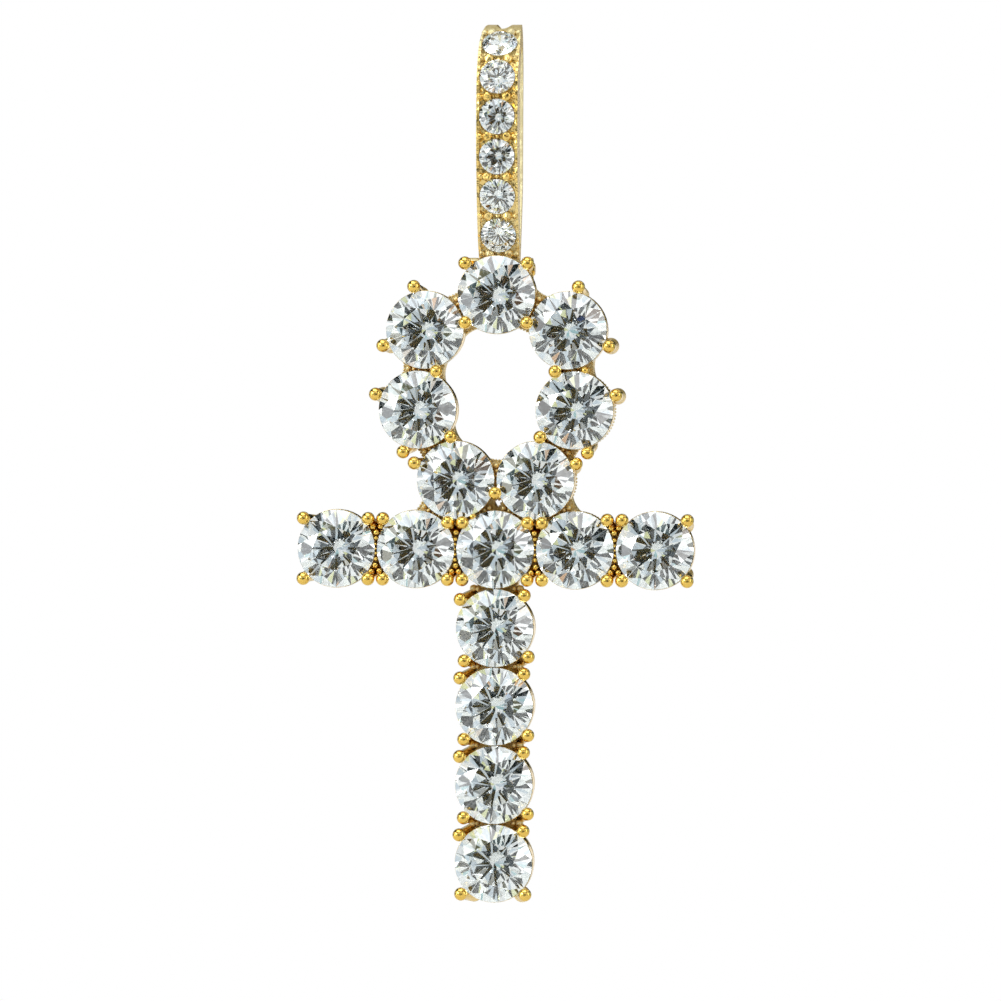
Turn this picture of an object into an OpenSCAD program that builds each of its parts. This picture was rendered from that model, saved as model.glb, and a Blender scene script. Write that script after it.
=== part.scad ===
// Ankh pendant: round stones in ball-prong settings, hung from a stone-set bail on a hinge.
// Millimetres. X is across, Y runs from the front to the back, Z is up.
// The origin is the chain seat, the highest point inside the bail.

/* [Stones] */
// Diameter of each main stone at its girdle
stone_d = 3.75; // [3.4:0.05:4.2]
// Diameter of each bail stone at its girdle
bail_stone_d = 1.7; // [1.5:0.02:1.8]
// Table width as a share of the stone's diameter
table_share = 0.57; // [0.53:0.01:0.62]
// Angle of the crown's main facets, in degrees
crown_angle = 34.5; // [32:0.5:36]
// Angle of the pavilion's main facets, in degrees
pavilion_angle = 40.8; // [40:0.2:42]
// Girdle thickness as a share of the diameter
girdle_share = 0.032; // [0.03:0.001:0.045]
// How far the star facets reach towards the girdle, as a share
star_share = 0.5; // [0.45:0.05:0.6]
// How far the lower halves reach towards the culet, as a share
lower_share = 0.88; // [0.7:0.01:0.9]

/* [Layout of the ankh] */
// Stones on each side of the middle of the crossbar
bar_arm = 2; // [1:1:3]
// Stones in the post below the crossbar
post_count = 4; // [2:1:6]
// Air between neighbouring stones of the crossbar
bar_gap = 0.11; // [0.04:0.01:0.2]
// Air between neighbouring stones of the post
post_gap = 0.03; // [0.02:0.01:0.2]
// Air between neighbouring stones of the loop
loop_gap = 0.11; // [0.04:0.01:0.2]
// Direction of the step from the loop's foot stone to its lower stone, in degrees
loop_flare = 61; // [56:1:66]
// Direction of the step from the loop's lower stone to its upper stone, in degrees
loop_rise = 95; // [92:1:98]

/* [Settings] */
// Air between a stone and the metal that holds it
seat_air = 0.04; // [0.03:0.01:0.06]
// How far the seat's rim stands out past the stone
rim_edge = 0.02; // [0.02:0.01:0.1]
// Depth of the rim's top edge behind the middle of the girdle
rim_drop = 0.1; // [0.08:0.01:0.2]
// Height of the collar under the rim
collar_h = 0.6; // [0.45:0.05:0.8]
// Wall of the collar where its bore is cut
collar_wall = 0.58; // [0.45:0.01:0.7]
// Depth of the settings from the middle of the girdle to the back
setting_depth = 2; // [1.9:0.05:2.4]
// Height of the gallery ring at the back
gallery_h = 0.55; // [0.4:0.05:0.7]
// How far the gallery ring is smaller than the rim, in radius
gallery_step = 0.12; // [0.08:0.01:0.2]
// Wall of the gallery ring
gallery_wall = 0.4; // [0.3:0.05:0.5]
// Width of the waist of the webs that join neighbouring settings
web_waist = 1.9; // [1.6:0.1:2.2]
// Length of a web along the line between two stones
web_len = 1.9; // [1.7:0.05:2]
// Radius of the hollow on each side of a web
web_hollow_r = 1.4; // [1.2:0.05:1.8]
// Height of a web at the back of the settings
web_h = 1.05; // [0.5:0.05:1.2]

/* [Prongs] */
// Diameter of a prong's ball
ball_d = 0.64; // [0.54:0.02:0.7]
// Diameter of a prong's wire
wire_d = 0.46; // [0.36:0.02:0.5]
// Diameter of a prong at its foot
foot_d = 0.8; // [0.6:0.05:0.9]
// Distance of a ball's centre outside the stone's edge
ball_out = 0.27; // [0.2:0.01:0.3]
// How far a prong leans inwards from its ball to its foot
prong_lean = 0.38; // [0.2:0.02:0.4]
// How far the prongs between two stones lean into the gap between them
gap_lean = 0.6; // [0.3:0.05:0.7]
// How far the two prongs of a pair lean towards each other
pair_lean = 0.12; // [0:0.02:0.16]
// Height of a ball's centre in front of the middle of the girdle
ball_rise = 0.2; // [0.12:0.02:0.3]
// Air between the two balls of a pair on the crossbar
bar_pair_air = 0.07; // [0.04:0.01:0.2]
// Air between the two balls of a pair on the post
post_pair_air = 0.18; // [0.06:0.02:0.3]
// Height above the crossbar's middle line of the balls under the loop
under_loop_rise = 1.29; // [1.2:0.01:1.4]
// Turn of the post's prongs about their stones, in degrees
post_turn = 4; // [0:1:6]
// Diameter of the two small beads between settings
small_bead_d = 0.38; // [0.3:0.02:0.44]

/* [Hinge] */
// Diameter of the hinge pin
pin_d = 0.5; // [0.4:0.02:0.56]
// Outer diameter of the bail's knuckle and of the two lugs
knuckle_d = 1.1; // [1:0.02:1.2]
// Radial clearance of the bail's knuckle on the pin
pin_play = 0.04; // [0.02:0.01:0.06]
// Radial fit of the pin in the lugs
pin_fit = 0.015; // [0.01:0.005:0.03]
// Thickness of a lug
lug_t = 0.45; // [0.4:0.05:0.6]
// Air on each side of the knuckle between the lugs
lug_air = 0.1; // [0.06:0.02:0.16]
// Air around the knuckle
knuckle_air = 0.12; // [0.1:0.02:0.2]
// Distance of the lugs' tops below the rim of the top setting
lug_drop = 0.08; // [0.04:0.02:0.2]
// Wall of the top seat where the knuckle passes behind it
top_seat_wall = 0.3; // [0.2:0.02:0.4]
// Thickness of the pin's rivet heads
rivet_t = 0.1; // [0.06:0.02:0.16]

/* [Bail] */
// Width of metal on each side of the bail stones
bail_edge = 0.15; // [0.1:0.01:0.2]
// Distance between neighbouring bail stones, along the front
bail_pitch = 1.93; // [1.9:0.01:2.1]
// Number of bail stones
bail_stones = 6; // [3:1:6]
// Distance from the hinge to the lowest bail stone, along the front
first_stone = 2; // [1.7:0.02:2.1]
// Thickness of the front plate
plate_t = 1.05; // [1:0.05:1.1]
// Thickness of the back strap
strap_t = 0.8; // [0.7:0.05:0.95]
// Width of the back strap
strap_w = 1.2; // [1:0.1:1.7]
// Height of the belly of the front plate above the hinge
belly_rise = 6.9; // [6.2:0.1:7.2]
// Radius of the front plate's lower curve
belly_r = 16; // [14:0.5:20]
// Length of the straight stretch above the belly
straight_len = 1.4; // [1:0.1:2]
// Radius of the arch at the front
arch_front_r = 3.6; // [3.4:0.1:4]
// Radius of the arch at the back
arch_back_r = 2.55; // [2.4:0.05:2.8]
// Height of the bend in the back strap above the hinge
strap_bend_rise = 4.6; // [4:0.1:5]
// Outer radius of the bend in the back strap
strap_bend_r = 2.5; // [1.8:0.1:3]
// Depth of the channel that the bail stones stand in
channel_drop = 0.12; // [0.08:0.02:0.2]
// Width of the metal edge beside the channel
channel_edge = 0.14; // [0.1:0.01:0.2]
// Diameter of a bead between the bail stones
bead_d = 0.48; // [0.4:0.02:0.52]
// Distance of a bead from the bail's middle line
bead_out = 0.46; // [0.4:0.02:0.5]
// Diameter of the grains between the beads
grain_d = 0.3; // [0.2:0.02:0.34]
// Distance of an outer grain from the bail's middle line
grain_out = 0.82; // [0.76:0.02:0.84]
// Depth of the dip in the bail's crest
crest_dip = 0.26; // [0.1:0.02:0.3]
// Radius of the dip in the bail's crest
crest_dip_r = 0.4; // [0.3:0.05:0.5]
// Radius of the hole behind each bail stone
bail_hole_r = 0.5; // [0.4:0.02:0.6]

/* [Hidden] */
$fn = 48;

// Fold of the brilliant cut's plan, the angle between its main facets and half of that
FOLD = 8;
MAIN = 360 / FOLD;
HALF = MAIN / 2;
// Points around the girdle
RING = 4 * FOLD;
RING_STEP = 360 / RING;
// Steps of the bail's drawn arcs, in degrees, and of its front line
ARC_STEP = 3;
FRONT_STEP = 0.2;
// Reach of cutting shapes past what they cut
PAST = 1;
// Reach of the bail's light holes past its plate, short of the back strap
HOLE_PAST = 0.2;
// Far end of the outlines that cut the bail's opening
FAR = 30;
// Overlap of the back strap with its knuckle
OVERLAP = 0.02;
// Room for a stone's crown in the metal: its step inwards and its height, as shares of the diameter
ROOM_IN = 0.2;
ROOM_H = 0.18;
// Distance by which a setting's bore stops in front of its gallery ring
BORE_STOP = 0.1;
// Height of a lug's neck as a share of its knuckle, and width of a small bead's stem as a share of the bead
NECK_SHARE = 0.7;
STEM_SHARE = 0.8;
// Turn of the facets from each stone to the next, in degrees
BAR_FACETS = 11;
POST_FACETS = 13;
BAIL_FACETS = 19;

stone_r = stone_d / 2;
bail_w = bail_stone_d + 2 * bail_edge;
rim_r = stone_r + rim_edge;
bore_r = rim_r - collar_wall;
gallery_r = rim_r - gallery_step;
gallery_hole_r = gallery_r - gallery_wall;
prong_reach = stone_r + ball_out;
foot_z = -setting_depth;
web_w = web_waist + 2 * (web_hollow_r - sqrt(pow(web_hollow_r, 2) - pow(web_len / 2, 2)));
web_front = -setting_depth + web_h;

bar_pitch = stone_d + bar_gap;
post_pitch = stone_d + post_gap;
loop_pitch = stone_d + loop_gap;

// Places of the loop's stones, right-hand side, from the crossbar's middle stone
foot_stone = [loop_pitch / 2, loop_pitch * sqrt(3) / 2];
low_stone = foot_stone + loop_pitch * [cos(loop_flare), sin(loop_flare)];
high_stone = low_stone + loop_pitch * [cos(loop_rise), sin(loop_rise)];
top_stone = [0, high_stone.y + sqrt(pow(loop_pitch, 2) - pow(high_stone.x, 2))];

function mirrored(p) = [-p.x, p.y];

// Name and place of each main stone, and how far its facets are turned, in degrees
STONES = concat(
    [
        ["stone_loop_top", top_stone, 8],
        ["stone_loop_high_left", mirrored(high_stone), 17],
        ["stone_loop_high_right", high_stone, 31],
        ["stone_loop_low_left", mirrored(low_stone), 4],
        ["stone_loop_low_right", low_stone, 38],
        ["stone_loop_foot_left", mirrored(foot_stone), 25],
        ["stone_loop_foot_right", foot_stone, 12]
    ],
    [
        for (i = [-bar_arm:bar_arm])
            [str("stone_bar_", i + bar_arm + 1), [i * bar_pitch, 0], BAR_FACETS * (i + bar_arm)]
    ],
    [for (k = [1:post_count]) [str("stone_post_", k), [0, -k * post_pitch], POST_FACETS * k]]
);
BAIL_STONES = [for (k = [1:bail_stones]) str("bail_stone_", k)];

// Pairs of neighbouring settings that a web joins
function side_webs(side) = [
    for (w = [
        [[0, 0], foot_stone],
        [[bar_pitch, 0], foot_stone],
        [foot_stone, low_stone],
        [low_stone, high_stone],
        [high_stone, top_stone]
    ]) [[side * w[0].x, w[0].y], [side * w[1].x, w[1].y]]
];
WEBS = concat(
    side_webs(1),
    side_webs(-1),
    [[mirrored(foot_stone), foot_stone]],
    [for (i = [-bar_arm:bar_arm - 1]) [[i * bar_pitch, 0], [(i + 1) * bar_pitch, 0]]],
    [for (k = [1:post_count]) [[0, -(k - 1) * post_pitch], [0, -k * post_pitch]]]
);

// A prong is the place of its ball and the place of its foot in the gallery
function turned(v, angle) = [v.x * cos(angle) - v.y * sin(angle), v.x * sin(angle) + v.y * cos(angle)];
function own_prong(stone, ball, lean, turn = 0) =
    [stone + turned(ball, turn), stone + turned(ball - lean, turn)];
function angled_prong(stone, angle, lean) =
    let (out = [cos(angle), sin(angle)])
    own_prong(stone, prong_reach * out, lean * out);
// A shared prong leans over the web between two stones, from the left of the step from a to b
function shared_prong(a, b, out) =
    let (step = (b - a) / norm(b - a), left = [-step.y, step.x], middle = (a + b) / 2)
    [middle + out * left, middle + (out - prong_lean) * left];

bar_along = (bar_pitch - ball_d - bar_pair_air) / 2;
bar_across = sqrt(pow(prong_reach, 2) - pow(bar_along, 2));
post_along = (post_pitch - ball_d - post_pair_air) / 2;
post_across = sqrt(pow(prong_reach, 2) - pow(post_along, 2));

function under_loop(i, side) = abs(i * bar_pitch + side * bar_along) < bar_pitch;
// The lean of a prong of the crossbar. At the bar's ends there is no gap to lean into.
function bar_lean(i, side, up) =
    i * side == bar_arm ? prong_lean * [side, up] / norm([side, up]) : [-side * pair_lean, up * gap_lean];
BAR_PRONGS = [
    for (i = [-bar_arm:bar_arm]) for (side = [-1, 1]) for (up = [-1, 1])
        own_prong(
            [i * bar_pitch, 0],
            [side * bar_along, up > 0 && under_loop(i, side) ? under_loop_rise : up * bar_across],
            bar_lean(i, side, up)
        )
];
POST_PRONGS = [
    for (k = [1:post_count]) for (side = [-1, 1]) for (up = [-1, 1])
        own_prong(
            [0, -k * post_pitch],
            [side * post_across, up * post_along],
            [side * (k == post_count && up < 0 ? prong_lean : gap_lean), -up * pair_lean],
            k == post_count && up < 0 ? 0 : post_turn
        )
];
// The two top prongs run straight back into the hinge's lugs
top_prong_angle = 45;
// Lean of the loop's outer prongs, which stand almost straight
outer_lean = 0.12;
// Stone, direction and lean of each prong of the loop that holds one stone, right-hand side
LOOP_PRONGS = [
    [high_stone, 76, prong_lean],
    [high_stone, -21, outer_lean],
    [low_stone, 20, outer_lean],
    [low_stone, -72, prong_lean],
    [foot_stone, 22, prong_lean]
];
// The two stones of each shared prong, and its ball's distance from the line between them, right-hand side
LOOP_SHARED = [
    [high_stone, top_stone, 0.55],
    [low_stone, high_stone, 0.76],
    [foot_stone, low_stone, 0.8]
];
// Distance of the ball below the line between the loop's two foot stones
foot_shared_out = 0.62;
// The two small beads: one out from the web at the loop's right, one at the crossbar's middle stone
web_bead_out = 0.67;
web_bead = (low_stone + high_stone) / 2 + [web_bead_out, 0];
corner_bead_out = 0.03;
corner_bead_angle = 124.5;
corner_bead = (stone_r + corner_bead_out) * [cos(corner_bead_angle), sin(corner_bead_angle)];

// The hinge, from the centre of the top stone: its height, and its depth behind the girdle
knuckle_r = knuckle_d / 2;
hinge_up = rim_r - lug_drop - knuckle_r;
hinge_back = girdle_share * stone_d / 2 + (stone_r - hinge_up) * tan(pavilion_angle)
    + (knuckle_r + knuckle_air + top_seat_wall + seat_air) / cos(pavilion_angle);
lug_in = bail_w / 2 + lug_air;
lug_mid = lug_in + lug_t / 2;

// The bail's front, as seen from the side. The plate's middle passes through the hinge.
hinge_tilt = -asin(belly_rise / (belly_r - plate_t / 2));
belly_back = hinge_back + (belly_r - plate_t / 2) * cos(hinge_tilt) - belly_r;
belly_up = hinge_up + belly_rise;
arch_up = belly_up + straight_len;
arch_back = belly_back + arch_front_r;
bail_top = arch_up + arch_front_r;
strap_back = arch_back + arch_back_r;
strap_bend_up = hinge_up + strap_bend_rise;

function to_degrees(length, radius) = length / radius * 180 / PI;
// Distances along the front are counted from the belly
function front_tilt(s) =
    s < 0 ? to_degrees(s, belly_r) : s > straight_len ? to_degrees(s - straight_len, arch_front_r) : 0;
function front_point(s, inset = 0) =
    let (t = front_tilt(s))
    (s < 0 ? [belly_back + belly_r * (1 - cos(t)), belly_up + belly_r * sin(t)] :
        s > straight_len ? [arch_back - arch_front_r * cos(t), arch_up + arch_front_r * sin(t)] :
        [belly_back, belly_up + s])
    + inset * [cos(t), -sin(t)];
hinge_s = hinge_tilt / 180 * PI * belly_r;
arch_s = straight_len + arch_front_r * PI / 2;
function bail_stone_s(k) = hinge_s + first_stone + (bail_stones - k) * bail_pitch;
function bead_s(k) = bail_stone_s(k) + bail_pitch / 2;

// The bail's front line, drawn from one distance to another
function front_line(s0, s1, inset) =
    let (steps = ceil((s1 - s0) / FRONT_STEP))
    [for (i = [0:steps]) front_point(s0 + (s1 - s0) * i / steps, inset)];
function arc(centre, radius, a0, a1) =
    let (steps = max(1, ceil(abs(a1 - a0) / ARC_STEP)))
    [for (i = [0:steps]) let (a = a0 + (a1 - a0) * i / steps) centre + radius * [cos(a), sin(a)]];

// The back strap's lower run is tangent to its bend and to the knuckle
knuckle = [hinge_back, hinge_up];
strap_bend = [strap_back - strap_bend_r, strap_bend_up];
strap_run = knuckle - strap_bend;
knuckle_inner_r = knuckle_r - OVERLAP;
strap_angle = atan2(strap_run.y, strap_run.x) + acos((strap_bend_r - knuckle_inner_r) / norm(strap_run));
// The same direction, within half a turn of zero
strap_turn = strap_angle - 360 * round(strap_angle / 360);

// The chain seat is the highest point of the bail's inside
chain_back = arch_back;
chain_up = bail_top - plate_t;

function reversed(list) = [for (i = [len(list) - 1:-1:0]) list[i]];
function on_ring(radius, angle, z) = [radius * cos(angle), radius * sin(angle), z];

// A round brilliant, its girdle in the XY plane and its table up
module brilliant(d, turn) {
    r = d / 2;
    table_r = table_share * r;
    girdle = girdle_share * d / 2;
    table_z = girdle + (r - table_r) * tan(crown_angle);
    star_r = table_r * cos(HALF) + star_share * (r - table_r * cos(HALF));
    star_z = girdle + (r - star_r * cos(HALF)) * tan(crown_angle);
    low_r = (1 - lower_share) * r;
    low_z = -girdle - (r - low_r * cos(HALF)) * tan(pavilion_angle);
    culet_z = -girdle - r * tan(pavilion_angle);
    // Between two facet points the girdle's edge dips, because it is cut by the half facets
    chord = cos(RING_STEP);
    function dip(edge, z, radius) = edge + r * (1 - chord) * (z - edge) / ((radius - r) * chord);
    upper_dip = dip(girdle, star_z, star_r);
    lower_dip = dip(-girdle, low_z, low_r);

    // Where each ring of points starts in the list
    star = FOLD;
    upper = star + FOLD;
    lower = upper + RING;
    low = lower + RING;
    culet = low + FOLD;
    points = concat(
        [for (k = [0:FOLD - 1]) on_ring(table_r, MAIN * k, table_z)],
        [for (k = [0:FOLD - 1]) on_ring(star_r, MAIN * k + HALF, star_z)],
        [for (j = [0:RING - 1]) on_ring(r, RING_STEP * j, j % 2 == 0 ? girdle : upper_dip)],
        [for (j = [0:RING - 1]) on_ring(r, RING_STEP * j, j % 2 == 0 ? -girdle : lower_dip)],
        [for (k = [0:FOLD - 1]) on_ring(low_r, MAIN * k + HALF, low_z)],
        [[0, 0, culet_z]]
    );
    function next(j) = (j + 1) % RING;
    function half_facet(apex, base, j) = [apex, base + j, base + next(j), base + next(j + 1)];
    outward = concat(
        [[for (k = [0:FOLD - 1]) k]],
        [for (k = [0:FOLD - 1]) [k, star + k, (k + 1) % FOLD]],
        [for (k = [0:FOLD - 1]) [k, star + (k + FOLD - 1) % FOLD, upper + 4 * k, star + k]],
        [for (k = [0:FOLD - 1]) for (h = [0, 2]) half_facet(star + k, upper, 4 * k + h)],
        [for (j = [0:RING - 1]) [lower + j, lower + next(j), upper + next(j), upper + j]],
        [for (k = [0:FOLD - 1]) for (h = [0, 2]) reversed(half_facet(low + k, lower, 4 * k + h))],
        [for (k = [0:FOLD - 1]) [culet, low + k, lower + 4 * k, low + (k + FOLD - 1) % FOLD]]
    );
    rotate([0, 0, turn]) polyhedron(points = points, faces = [for (f = outward) reversed(f)]);
}

// The room that a stone takes in the metal, with the light hole behind it
module stone_room(d, hole_r, hole_depth, bore, bore_depth) {
    r = d / 2 + seat_air;
    girdle = girdle_share * d / 2;
    room_r = r - ROOM_IN * d;
    room_z = girdle + ROOM_H * d;
    seat_z = -girdle - (r - bore) * tan(pavilion_angle);
    rotate_extrude() polygon([
        [0, -hole_depth],
        [hole_r, -hole_depth],
        [hole_r, -bore_depth],
        [bore, -bore_depth],
        [bore, seat_z],
        [r, -girdle],
        [r, girdle],
        [room_r, room_z],
        [0, room_z]
    ]);
}

// From the plane of the ankh's face, with Z towards the viewer, to its place below the chain seat
module hang_ankh() {
    translate([0, -chain_back, -chain_up - top_stone.y]) rotate([90, 0, 0]) children();
}

// From the top stone's centre to its place below the chain seat
module hang_bail() {
    translate([0, -chain_back, -chain_up]) children();
}

module at_bail_stone(s) {
    p = front_point(s);
    translate([0, p.x, p.y]) rotate([90 - front_tilt(s), 0, 0]) children();
}

module tapered_rod(from, to, from_d, to_d) {
    run = to - from;
    length = norm(run);
    translate(from) rotate([0, acos(run.z / length), atan2(run.y, run.x)])
        cylinder(d1 = from_d, d2 = to_d, h = length);
}

module along_x(from, to, d) {
    translate([from, 0, 0]) rotate([0, 90, 0]) cylinder(d = d, h = to - from);
}

module collar() {
    translate([0, 0, -rim_drop - collar_h]) cylinder(r = rim_r, h = collar_h);
}

module gallery() {
    translate([0, 0, -setting_depth]) cylinder(r = gallery_r, h = gallery_h);
}

module web_outline() {
    difference() {
        square([web_len, web_w], center = true);
        for (side = [-1, 1]) translate([0, side * (web_waist / 2 + web_hollow_r)]) circle(r = web_hollow_r);
    }
}

module web(ends) {
    step = ends[1] - ends[0];
    middle = (ends[0] + ends[1]) / 2;
    translate([middle.x, middle.y, -setting_depth])
        rotate([0, 0, atan2(step.y, step.x)]) linear_extrude(height = web_h) web_outline();
}

module prong(ends, to_d = foot_d) {
    translate([ends[0].x, ends[0].y, ball_rise]) sphere(d = ball_d);
    tapered_rod([ends[0].x, ends[0].y, ball_rise], [ends[1].x, ends[1].y, foot_z], wire_d, to_d);
}

// One lug of the hinge, on the right when side is 1, with the prong that stands on it
module lug(side) {
    neck = NECK_SHARE * knuckle_d;
    ball = top_stone + prong_reach * [side * cos(top_prong_angle), sin(top_prong_angle)];
    translate([0, top_stone.y + hinge_up, -hinge_back])
        along_x(side * lug_mid - lug_t / 2, side * lug_mid + lug_t / 2, knuckle_d);
    translate([side * lug_mid - lug_t / 2, top_stone.y + hinge_up - neck / 2, -hinge_back])
        cube([lug_t, neck, hinge_back - rim_drop - collar_h / 2]);
    prong([ball, [side * lug_mid, top_stone.y + hinge_up]], wire_d);
}

module small_bead(at) {
    translate([at.x, at.y, web_front]) cylinder(d = STEM_SHARE * small_bead_d, h = -web_front);
    translate([at.x, at.y, 0]) sphere(d = small_bead_d);
}

module ankh_frame() {
    bore_depth = setting_depth - gallery_h - BORE_STOP;
    color("goldenrod") hang_ankh() difference() {
        union() {
            for (s = STONES) translate([s[1].x, s[1].y, 0]) {
                collar();
                gallery();
            }
            for (w = WEBS) web(w);
            for (p = BAR_PRONGS) prong(p);
            for (p = POST_PRONGS) prong(p);
            for (p = LOOP_PRONGS) {
                prong(angled_prong(p[0], p[1], p[2]));
                prong(angled_prong(mirrored(p[0]), 180 - p[1], p[2]));
            }
            for (p = LOOP_SHARED) {
                prong(shared_prong(p[0], p[1], p[2]));
                prong(shared_prong(mirrored(p[1]), mirrored(p[0]), p[2]));
            }
            prong(shared_prong(foot_stone, mirrored(foot_stone), foot_shared_out));
            small_bead(web_bead);
            small_bead(corner_bead);
            for (side = [-1, 1]) lug(side);
        }
        for (s = STONES) translate([s[1].x, s[1].y, 0])
            stone_room(stone_d, gallery_hole_r, setting_depth + PAST, bore_r, bore_depth);
        translate([0, top_stone.y + hinge_up, -hinge_back]) {
            along_x(-lug_in, lug_in, knuckle_d + 2 * knuckle_air);
            along_x(-lug_mid - lug_t, lug_mid + lug_t, pin_d + 2 * pin_fit);
        }
        // Room for the front plate above the knuckle
        translate([-lug_in, top_stone.y + hinge_up, -setting_depth - PAST])
            cube([2 * lug_in, rim_r, setting_depth + PAST - rim_drop - collar_h / 2]);
    }
}

module hinge_pin() {
    end = lug_mid + lug_t / 2 + pin_fit;
    color("gold") hang_bail() translate([0, hinge_back, hinge_up]) {
        along_x(-end, end, pin_d);
        for (side = [0, 180]) rotate([0, 0, side]) translate([end, 0, 0]) rotate([0, 90, 0])
            cylinder(d1 = pin_d + 2 * rivet_t, d2 = pin_d, h = rivet_t);
    }
}

// The bail's outline from the side, without its opening
module bail_outline() {
    back = arc([arch_back, bail_top - arch_back_r], arch_back_r, 90, 0);
    bend = arc(strap_bend, strap_bend_r, 0, strap_turn);
    foot = knuckle + knuckle_inner_r * [cos(strap_turn), sin(strap_turn)];
    polygon(concat(front_line(hinge_s, arch_s, 0), back, bend, [foot]));
    translate(knuckle) circle(r = knuckle_r);
}

// What lies behind the front plate, and what lies in front of the back strap
module bail_inside() {
    inner_back_r = arch_back_r - strap_t;
    bend = arc(strap_bend, strap_bend_r - strap_t, 0, strap_turn);
    low = knuckle + (knuckle_inner_r - strap_t) * [cos(strap_turn), sin(strap_turn)];
    intersection() {
        polygon(concat(
            front_line(hinge_s, arch_s, plate_t),
            [[FAR, bail_top - plate_t], [FAR, front_point(hinge_s, plate_t).y]]
        ));
        polygon(concat(
            [[-FAR, chain_up]],
            arc([chain_back, chain_up - inner_back_r], inner_back_r, 90, 0),
            bend,
            [low, [-FAR, low.y]]
        ));
    }
}

// The bail narrows from its front plate to its back strap
module bail_plan() {
    front_back = belly_back + plate_t;
    linear_extrude(height = bail_top + PAST) polygon([
        [-bail_w / 2, belly_back - PAST],
        [bail_w / 2, belly_back - PAST],
        [bail_w / 2, front_back],
        [strap_w / 2, strap_back],
        [strap_w / 2, strap_back + PAST],
        [-strap_w / 2, strap_back + PAST],
        [-strap_w / 2, strap_back],
        [-bail_w / 2, front_back]
    ]);
}

module side_profile(width) {
    rotate([90, 0, 90]) linear_extrude(height = width, center = true) children();
}

module bail() {
    channel_from = bail_stone_s(bail_stones) - bail_pitch / 2 - bead_d / 2;
    channel_to = bead_s(1) + bead_d / 2;
    channel_w = bail_w - 2 * channel_edge;
    bead_sink = channel_drop / 3;
    color("goldenrod") hang_bail() difference() {
        union() {
            difference() {
                intersection() {
                    side_profile(bail_w) difference() {
                        bail_outline();
                        bail_inside();
                    }
                    bail_plan();
                }
                side_profile(channel_w) polygon(concat(
                    front_line(channel_from, channel_to, channel_drop),
                    reversed(front_line(channel_from, channel_to, -channel_drop))
                ));
            }
            for (k = [0:bail_stones]) at_bail_stone(bead_s(k + 1)) {
                for (side = [-1, 1]) {
                    translate([side * bead_out, 0, -bead_sink]) sphere(d = bead_d);
                    translate([side * grain_out, 0, -bead_sink]) sphere(d = grain_d);
                }
                translate([0, 0, -channel_drop]) sphere(d = grain_d);
            }
        }
        translate([0, arch_back - arch_front_r, bail_top + crest_dip_r - crest_dip])
            rotate([-90, 0, 0]) cylinder(r = crest_dip_r, h = arch_front_r + arch_back_r);
        for (k = [1:bail_stones]) at_bail_stone(bail_stone_s(k))
            stone_room(bail_stone_d, bail_hole_r, plate_t + HOLE_PAST, bail_hole_r, plate_t);
        translate([0, hinge_back, hinge_up]) along_x(-bail_w, bail_w, pin_d + 2 * pin_play);
    }
}

module main_stone(s) {
    color("aliceblue") hang_ankh() translate([s[1].x, s[1].y, 0]) brilliant(stone_d, s[2]);
}

module bail_stone(k) {
    color("aliceblue") hang_bail() at_bail_stone(bail_stone_s(k)) brilliant(bail_stone_d, BAIL_FACETS * k);
}

bail();
ankh_frame();
hinge_pin();
for (s = STONES) main_stone(s);
for (k = [1:bail_stones]) bail_stone(k);
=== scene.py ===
import math
import random
from itertools import combinations

import bpy
from mathutils import Matrix, Vector


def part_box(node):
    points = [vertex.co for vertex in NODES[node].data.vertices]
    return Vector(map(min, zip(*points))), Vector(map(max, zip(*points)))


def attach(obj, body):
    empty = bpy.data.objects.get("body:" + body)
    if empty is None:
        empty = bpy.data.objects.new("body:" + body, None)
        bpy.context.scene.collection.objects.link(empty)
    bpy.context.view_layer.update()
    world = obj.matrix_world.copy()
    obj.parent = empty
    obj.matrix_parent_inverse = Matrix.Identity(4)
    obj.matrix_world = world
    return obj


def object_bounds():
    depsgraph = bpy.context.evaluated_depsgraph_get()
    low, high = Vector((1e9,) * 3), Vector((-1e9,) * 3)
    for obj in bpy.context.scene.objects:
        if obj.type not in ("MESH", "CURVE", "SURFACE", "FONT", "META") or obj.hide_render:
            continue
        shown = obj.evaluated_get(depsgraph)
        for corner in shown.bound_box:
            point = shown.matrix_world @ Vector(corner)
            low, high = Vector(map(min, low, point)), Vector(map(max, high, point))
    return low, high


bl_info = {
    "name": "Ankh pendant",
    "version": (1, 0, 0),
    "blender": (4, 5, 0),
    "location": "View3D > Sidebar > Ankh",
    "description": "Gives the ankh pendant its metal, its stones, a studio and a camera",
    "category": "Object",
}

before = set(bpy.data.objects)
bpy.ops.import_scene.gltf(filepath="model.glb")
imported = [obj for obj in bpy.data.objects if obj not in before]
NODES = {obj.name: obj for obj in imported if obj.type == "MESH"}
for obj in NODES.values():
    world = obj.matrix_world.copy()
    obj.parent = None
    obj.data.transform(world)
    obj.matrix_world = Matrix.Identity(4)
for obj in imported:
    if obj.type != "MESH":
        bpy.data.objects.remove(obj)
CAD_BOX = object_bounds()
MM = 0.001

SETTINGS = "ankh_frame"
BAIL = "bail"
PIN = "hinge_pin"
MAIN_STONES = sorted(name for name in NODES if name.startswith("stone_"))
BAIL_STONES = sorted(name for name in NODES if name.startswith("bail_stone_"))

TOP_STONE_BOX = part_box("stone_loop_top")
TOP_STONE = (TOP_STONE_BOX[0] + TOP_STONE_BOX[1]) / 2
FRONT_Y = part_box(SETTINGS)[0].y

# The photograph's frame, and the pixels that one millimetre takes in it
FRAME_PX = 1001
PX_PER_MM = 20.78
SENSOR_MM = 36.0
# The nearest and the farthest that the camera sees
CLIP = (0.01, 10.0)

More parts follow.
